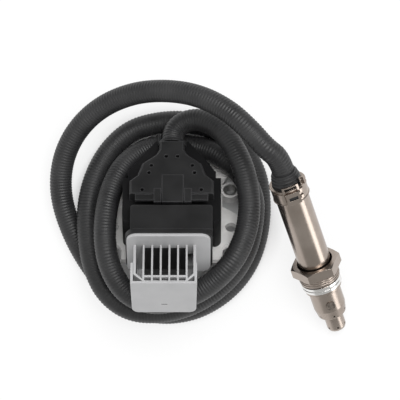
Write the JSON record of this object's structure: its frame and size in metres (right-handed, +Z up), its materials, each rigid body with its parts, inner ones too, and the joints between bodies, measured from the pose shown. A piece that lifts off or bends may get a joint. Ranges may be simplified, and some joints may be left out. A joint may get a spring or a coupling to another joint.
{
  "type": "nitrogen oxide sensor",
  "caption": "Exhaust gas probe with a union nut, a corrugated black conduit in loose coils and a black control unit on a metal base with a grey ribbed connector cap.",
  "frame": {"origin": "under the middle of the box round the control unit and the probe, on the surface that the object lies on", "axes": "+X from the control unit towards the probe, +Y from the connector towards the cable neck, +Z up"},
  "size_m": [0.1474, 0.124, 0.0683],
  "materials": {
    "nickel_steel": "warm bright nickel, turned and drawn",
    "ring_steel": "bright plated ring",
    "zinc_steel": "zinc plated",
    "ceramic": "fired white ceramic",
    "talc": "pressed powder",
    "lead_wire": "insulated leads",
    "seal_rubber": "soft black rubber",
    "conduit_plastic": "black corrugated plastic, satin",
    "black_plastic": "moulded black plastic with a fine grain",
    "grey_plastic": "light grey moulded plastic",
    "cast_aluminium": "cast and blasted",
    "board_green": "coated board",
    "pin_brass": "plated contact"
  },
  "bodies": {
    "sensor": {"band_clamp": "nickel_steel", "base_plate": "cast_aluminium", "cable_cover": "black_plastic", "cable_cover_base": "black_plastic", "cable_grommet": "seal_rubber", "ceramic_element": "ceramic", "circuit_board": "board_green", "conduit": "conduit_plastic", "conduit_boot": "conduit_plastic", "connector_block": "black_plastic", "contact_holder": "ceramic", "contact_pins": "pin_brass", "housing_screws": "zinc_steel", "inner_protection_tube": "nickel_steel", "lower_insulator": "ceramic", "mount_bushings": "zinc_steel", "neck_collar": "black_plastic", "outer_protection_tube": "nickel_steel", "probe_leads": "lead_wire", "protective_cap": "grey_plastic", "sealing_ring": "ring_steel", "sensor_shell": "nickel_steel", "sleeve_tube": "nickel_steel", "socket_seal": "seal_rubber", "talc_packing": "talc", "unit_housing": "black_plastic", "unit_leads": "lead_wire", "upper_insulator": "ceramic", "weld_plug": "nickel_steel"},
    "union_nut": {"union_nut": "nickel_steel"}
  },
  "joints": [
    {"name": "nut_turn", "type": "hinge", "parent": "sensor", "child": "union_nut", "pos_m": [0.04456, -0.01585, 0.02356], "axis": [0.2942, -0.7954, -0.5299], "continuous": true}
  ]
}
